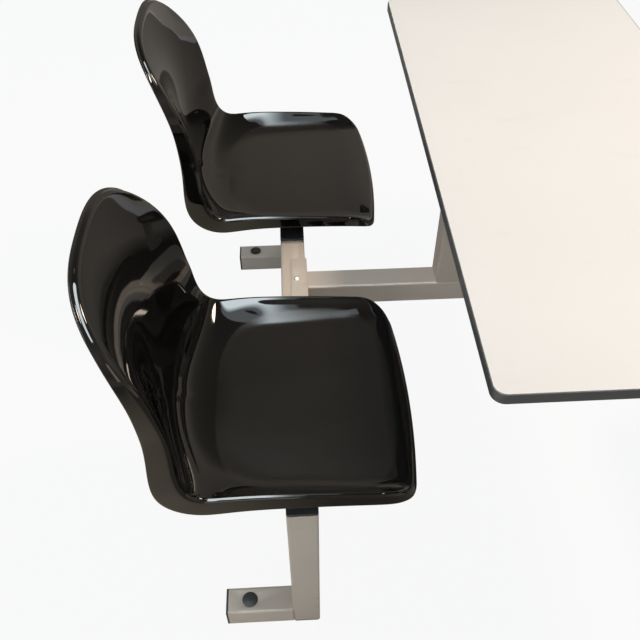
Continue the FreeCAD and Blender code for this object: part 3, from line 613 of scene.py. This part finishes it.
copied = 0
for node, slot in slotOf.items():
    if slot in softening:
        softCopy(node, slot)
        copied += 1
    elif slot in ("laminate", "backing", "core"):
        dress(frame["nodes"][node], slot)
print("softened copies:", copied)

# stage: pale floor, soft light, camera
stage = {"floor": 30.0, "floorColour": (0.60, 0.595, 0.585), "whiten": 0.92, "ambient": 0.44,
         "skyColour": (0.57, 0.79, 1.0), "floorRough": 0.9}


# rays that meet the plain pale backdrop, while diffuse light keeps its own level
def backgroundRays(tree):
    path = tree.nodes.new("ShaderNodeLightPath")
    seen = calc(tree, "MAXIMUM", path.outputs["Is Camera Ray"], path.outputs["Is Glossy Ray"])
    return calc(tree, "MAXIMUM", seen, path.outputs["Is Transmission Ray"])


bm = bmesh.new()
bmesh.ops.create_grid(bm, x_segments=1, y_segments=1, size=stage["floor"])
floorMesh = bpy.data.meshes.new("floor")
bm.to_mesh(floorMesh)
bm.free()
floor = bpy.data.objects.new("floor", floorMesh)
bpy.context.scene.collection.objects.link(floor)
floorPaint, tree, shader = newFinish("floorPale")
shader.inputs["Base Color"].default_value = (*stage["floorColour"], 1)
shader.inputs["Roughness"].default_value = stage["floorRough"]
shader.inputs["Specular IOR Level"].default_value = 0.0
glow = tree.nodes.new("ShaderNodeEmission")
blendFloor = tree.nodes.new("ShaderNodeMixShader")
tree.links.new(calc(tree, "MULTIPLY", backgroundRays(tree), stage["whiten"]), blendFloor.inputs[0])
tree.links.new(shader.outputs[0], blendFloor.inputs[1])
tree.links.new(glow.outputs[0], blendFloor.inputs[2])
tree.links.new(blendFloor.outputs[0], tree.nodes["Material Output"].inputs["Surface"])
floorMesh.materials.append(floorPaint)

world = bpy.data.worlds.new("studio")
world.use_nodes = True
bpy.context.scene.world = world
tree = world.node_tree
plain = tree.nodes["Background"]
plain.inputs["Color"].default_value = (*stage["skyColour"], 1)
plain.inputs["Strength"].default_value = stage["ambient"]
white = tree.nodes.new("ShaderNodeBackground")
white.inputs["Color"].default_value = (1, 1, 1, 1)
blendWorld = tree.nodes.new("ShaderNodeMixShader")
tree.links.new(backgroundRays(tree), blendWorld.inputs[0])
tree.links.new(plain.outputs[0], blendWorld.inputs[1])
tree.links.new(white.outputs[0], blendWorld.inputs[2])
tree.links.new(blendWorld.outputs[0], tree.nodes["World Output"].inputs["Surface"])

lamps = {
    "keyLamp": {"at": (1.0, -0.2, 3.1), "aim": (-0.2, 0, 0.6), "size": (0.6, 0.6), "power": 51,
                "colour": (1.0, 0.85, 0.67)},
    "leftLamp": {"at": (-1.9, 0.3, 2.6), "aim": (-0.4, 0, 0.4), "size": (1.6, 1.6), "power": 12,
                 "colour": (1.0, 0.93, 0.84)},
    "frontLamp": {"at": (-1.0, -2.4, 0.9), "aim": (-0.5, -0.4, 0.3), "size": (1.2, 0.8), "power": 6,
                  "colour": (1.0, 0.93, 0.84)},
}
for name, lamp in lamps.items():
    data = bpy.data.lights.new(name, "AREA")
    data.shape = "RECTANGLE"
    data.size, data.size_y = lamp["size"]
    data.energy = lamp["power"]
    data.color = lamp["colour"]
    obj = bpy.data.objects.new(name, data)
    way = Vector(lamp["aim"]) - Vector(lamp["at"])
    turned = way.to_track_quat("-Z", "Y").to_matrix().to_4x4()
    obj.matrix_world = Matrix.Translation(lamp["at"]) @ turned
    bpy.context.scene.collection.objects.link(obj)

# dark cards round the set keep the black shells black: only reflections see them
cards = {
    "radius": 5.0, "foot": 0.002, "warm": (1.0, 0.9, 0.78), "sides": (0.2, 2.0),
    "bands": ((0.0, 0.5), (0.1, 0.5), (0.2, 0.3), (0.42, 0.38), (0.58, 0.5), (0.76, 0.26),
              (1.0, 0.16)),
    "windows": ((-0.76, -1.2, 0.9, 2.7), (-0.2, -0.65, 0.22, 0.9)), "windowHeight": 2.5,
    "windowFade": (-0.58, -0.38), "windowLevel": (16.0, 2.0), "windowColour": (0.86, 0.96, 1.0),
    "floorHalf": 2.4, "floorLift": 0.0015, "split": -0.25,
    "under": (0.1, 0.25, 0.0), "underReach": (0.5, 1.15), "underLevel": (0.03, 0.30),
    "frontReach": (-0.82, -0.38), "frontLevel": (1.0, 0.3), "frontColour": (1.0, 0.87, 0.68),
}


def addCard(name, bm):
    mesh = bpy.data.meshes.new(name)
    bm.to_mesh(mesh)
    bm.free()
    obj = bpy.data.objects.new(name, mesh)
    bpy.context.scene.collection.objects.link(obj)
    for ray in ("camera", "diffuse", "transmission", "volume_scatter", "shadow"):
        setattr(obj, "visible_" + ray, False)
    paint = bpy.data.materials.new(name)
    paint.use_nodes = True
    tree = paint.node_tree
    tree.nodes.remove(tree.nodes["Principled BSDF"])
    glow = tree.nodes.new("ShaderNodeEmission")
    tree.links.new(glow.outputs[0], tree.nodes["Material Output"].inputs["Surface"])
    mesh.materials.append(paint)
    return tree, glow, tree.nodes.new("ShaderNodeTexCoord").outputs["Object"]


# a square card just over the floor, on one side of the split
def addFloorCard(name, side):
    bm = bmesh.new()
    middle = cards["split"] + side * cards["floorHalf"]
    bmesh.ops.create_grid(bm, x_segments=1, y_segments=1, size=cards["floorHalf"],
                          matrix=Matrix.Translation((0, middle, cards["floorLift"])))
    return addCard(name, bm)


bm = bmesh.new()
bmesh.ops.create_uvsphere(bm, u_segments=48, v_segments=24, radius=cards["radius"])
bmesh.ops.bisect_plane(bm, geom=bm.verts[:] + bm.edges[:] + bm.faces[:],
                       plane_co=(0, 0, cards["foot"]), plane_no=(0, 0, 1), clear_inner=True)
tree, glow, coords = addCard("domeCard", bm)
axes = splitAxes(tree, coords)
ramp = tree.nodes.new("ShaderNodeValToRGB")
tree.links.new(remap(tree, axes["Z"], 0, cards["radius"]), ramp.inputs[0])
while len(ramp.color_ramp.elements) < len(cards["bands"]):
    ramp.color_ramp.elements.new(0.5)
for element, (height, level) in zip(ramp.color_ramp.elements, cards["bands"]):
    element.position = height
    element.color = (*(level * part for part in cards["warm"]), 1)
tree.links.new(ramp.outputs[0], glow.inputs["Color"])
sideways = remap(tree, axes["X"], -cards["radius"], cards["radius"], *cards["sides"])
tree.links.new(sideways, glow.inputs["Strength"])

# pale cards overhead, the bright stripes along the seats' rims
bm = bmesh.new()
for x, y, width, depth in cards["windows"]:
    made = bmesh.ops.create_grid(bm, x_segments=1, y_segments=1, size=0.5)["verts"]
    bmesh.ops.scale(bm, vec=(width, depth, 1), verts=made)
    bmesh.ops.translate(bm, vec=(x, y, cards["windowHeight"]), verts=made)
bmesh.ops.reverse_faces(bm, faces=bm.faces)
tree, glow, coords = addCard("windowCard", bm)
glow.inputs["Color"].default_value = (*cards["windowColour"], 1)
fade = remap(tree, splitAxes(tree, coords)["X"], *cards["windowFade"], *cards["windowLevel"])
tree.links.new(fade, glow.inputs["Strength"])

# floor card behind the near seat, dark under the table
tree, glow, coords = addFloorCard("underCard", 1)
glow.inputs["Color"].default_value = (*cards["warm"], 1)
apart = tree.nodes.new("ShaderNodeVectorMath")
apart.operation = "DISTANCE"
tree.links.new(coords, apart.inputs[0])
apart.inputs[1].default_value = cards["under"]
outward = remap(tree, apart.outputs["Value"], *cards["underReach"], *cards["underLevel"])
tree.links.new(outward, glow.inputs["Strength"])

# floor card before the near seat, fading to the right
tree, glow, coords = addFloorCard("frontCard", -1)
glow.inputs["Color"].default_value = (*cards["frontColour"], 1)
fade = remap(tree, splitAxes(tree, coords)["X"], *cards["frontReach"], *cards["frontLevel"])
tree.links.new(fade, glow.inputs["Strength"])

# camera, with angles in degrees and the lens in millimetres
view = {"at": (-0.4828, -1.065, 1.4059), "yaw": 2.6, "down": 46.5, "roll": 0.4, "lens": 40.74,
        "sensor": 36}
cameraData = bpy.data.cameras.new("camera")
cameraData.sensor_width = view["sensor"]
cameraData.lens = view["lens"]
camera = bpy.data.objects.new("camera", cameraData)
camera.matrix_world = (Matrix.Translation(view["at"])
                       @ Matrix.Rotation(-math.radians(view["yaw"]), 4, "Z")
                       @ Matrix.Rotation(math.radians(90 - view["down"]), 4, "X")
                       @ Matrix.Rotation(-math.radians(view["roll"]), 4, "Z"))
bpy.context.scene.collection.objects.link(camera)
bpy.context.scene.camera = camera
bpy.context.scene.view_settings.view_transform = "Standard"
print("stage set")
